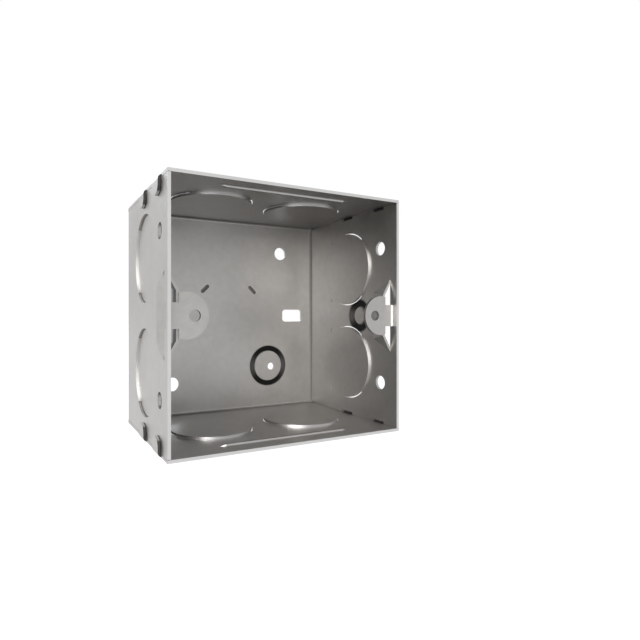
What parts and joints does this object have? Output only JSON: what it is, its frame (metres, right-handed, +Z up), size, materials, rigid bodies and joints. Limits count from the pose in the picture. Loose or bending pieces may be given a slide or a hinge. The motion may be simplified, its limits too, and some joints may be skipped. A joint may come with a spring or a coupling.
{
  "type": "modular switch box",
  "caption": "Square flush wall box folded from galvanised steel sheet, open in front, with inward screw lugs, round pressed knock-outs, corner-lock tabs and a cable slot.",
  "frame": {"origin": "on the outer face of the bottom wall, under the middle of the box", "axes": "+Y towards the back panel, so the open front faces -Y; +X to the right seen from the front; +Z up"},
  "size_m": [0.0782, 0.053, 0.075],
  "materials": {
    "galvanised_sheet": "galvanised, semi-gloss, faintly clouded"
  },
  "bodies": {
    "root": {"switch_box_body": "galvanised_sheet"}
  },
  "joints": []
}
